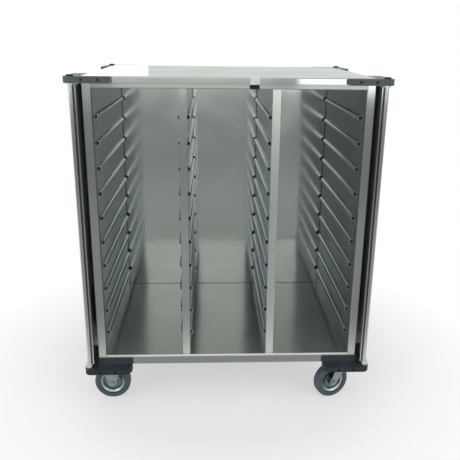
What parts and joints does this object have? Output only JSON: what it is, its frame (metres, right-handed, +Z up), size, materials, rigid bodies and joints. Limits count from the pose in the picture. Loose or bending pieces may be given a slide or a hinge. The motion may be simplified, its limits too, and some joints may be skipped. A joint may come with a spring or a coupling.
{
  "type": "tray trolley",
  "caption": "Closed stainless tray trolley: side-by-side bays of half-round tray runners, doors that fold back along the sides on corner bumpers, and fixed and swivel castors.",
  "frame": {"origin": "on the ground, under the middle of the trolley's overall box", "axes": "+X to the right as seen from the front, +Y towards the back, +Z up; the open front faces -Y"},
  "size_m": [1.26, 0.956, 1.442],
  "materials": {
    "stainless_sheet": "satin, with a fine grain",
    "runner_steel": "smooth, rolled",
    "bright_steel": "satin, lighter than the sheet",
    "zinc": "zinc plated pressed steel",
    "bumper_plastic": "moulded, finely textured, slate",
    "black_plastic": "moulded, satin",
    "dark_screw": "blackened",
    "tyre_rubber": "smooth grey rubber"
  },
  "bodies": {
    "carcass": {"back_inner": "stainless_sheet", "back_outer": "stainless_sheet", "bottom_rail": "stainless_sheet", "bumper_screws": "dark_screw", "castor_bolts": "zinc", "catch_block": "black_plastic", "catch_bracket": "bright_steel", "ceiling_panel": "stainless_sheet", "chassis_frame": "zinc", "fixed_castor_axles": "zinc", "fixed_castor_forks": "zinc", "floor_panel": "stainless_sheet", "front_left_bottom_bumper": "bumper_plastic", "front_left_top_bumper": "bumper_plastic", "front_right_bottom_bumper": "bumper_plastic", "front_right_top_bumper": "bumper_plastic", "left_divider": "stainless_sheet", "left_divider_cap": "bright_steel", "left_divider_left_runners": "runner_steel", "left_divider_right_runners": "runner_steel", "left_side_inner": "stainless_sheet", "left_side_outer": "stainless_sheet", "left_stile": "stainless_sheet", "left_wall_runners": "runner_steel", "pivot_plugs": "black_plastic", "rear_left_bottom_bumper": "bumper_plastic", "rear_left_top_bumper": "bumper_plastic", "rear_right_bottom_bumper": "bumper_plastic", "rear_right_top_bumper": "bumper_plastic", "right_divider": "stainless_sheet", "right_divider_cap": "bright_steel", "right_divider_left_runners": "runner_steel", "right_divider_right_runners": "runner_steel", "right_side_inner": "stainless_sheet", "right_side_outer": "stainless_sheet", "right_stile": "stainless_sheet", "right_wall_runners": "runner_steel", "swivel_castor_plates": "zinc", "top_panel": "stainless_sheet", "top_rail": "stainless_sheet"},
    "left_door": {"left_door_hinge_stile": "bright_steel", "left_door_inner_pan": "stainless_sheet", "left_door_outer_pan": "stainless_sheet", "left_door_pins": "bright_steel"},
    "right_door": {"right_door_hinge_stile": "bright_steel", "right_door_inner_pan": "stainless_sheet", "right_door_outer_pan": "stainless_sheet", "right_door_pins": "bright_steel"},
    "front_left_wheel": {"front_left_rim": "zinc", "front_left_tyre": "tyre_rubber"},
    "rear_left_wheel": {"rear_left_rim": "zinc", "rear_left_tyre": "tyre_rubber"},
    "front_right_castor": {"front_right_fork": "zinc", "front_right_axle": "zinc"},
    "rear_right_castor": {"rear_right_fork": "zinc", "rear_right_axle": "zinc"},
    "front_right_wheel": {"front_right_rim": "zinc", "front_right_tyre": "tyre_rubber"},
    "rear_right_wheel": {"rear_right_rim": "zinc", "rear_right_tyre": "tyre_rubber"}
  },
  "joints": [
    {"name": "left_door_hinge", "type": "hinge", "parent": "carcass", "child": "left_door", "pos_m": [-0.604, -0.452, 0.8], "axis": [0, 0, 1], "range_deg": [0, 270]},
    {"name": "right_door_hinge", "type": "hinge", "parent": "carcass", "child": "right_door", "pos_m": [0.604, -0.452, 0.8], "axis": [0, 0, -1], "range_deg": [0, 270]},
    {"name": "front_left_wheel_spin", "type": "hinge", "parent": "carcass", "child": "front_left_wheel", "pos_m": [-0.523, -0.364, 0.08], "axis": [0, 1, 0], "continuous": true},
    {"name": "rear_left_wheel_spin", "type": "hinge", "parent": "carcass", "child": "rear_left_wheel", "pos_m": [-0.523, 0.376, 0.08], "axis": [0, 1, 0], "continuous": true},
    {"name": "front_right_swivel", "type": "hinge", "parent": "carcass", "child": "front_right_castor", "pos_m": [0.523, -0.364, 0.18], "axis": [0, 0, 1], "continuous": true},
    {"name": "front_right_wheel_spin", "type": "hinge", "parent": "front_right_castor", "child": "front_right_wheel", "pos_m": [0.47602, -0.3811, 0.08], "axis": [-0.342, 0.9397, 0], "continuous": true},
    {"name": "rear_right_swivel", "type": "hinge", "parent": "carcass", "child": "rear_right_castor", "pos_m": [0.523, 0.376, 0.18], "axis": [0, 0, 1], "continuous": true},
    {"name": "rear_right_wheel_spin", "type": "hinge", "parent": "rear_right_castor", "child": "rear_right_wheel", "pos_m": [0.47602, 0.3589, 0.08], "axis": [-0.342, 0.9397, 0], "continuous": true}
  ]
}
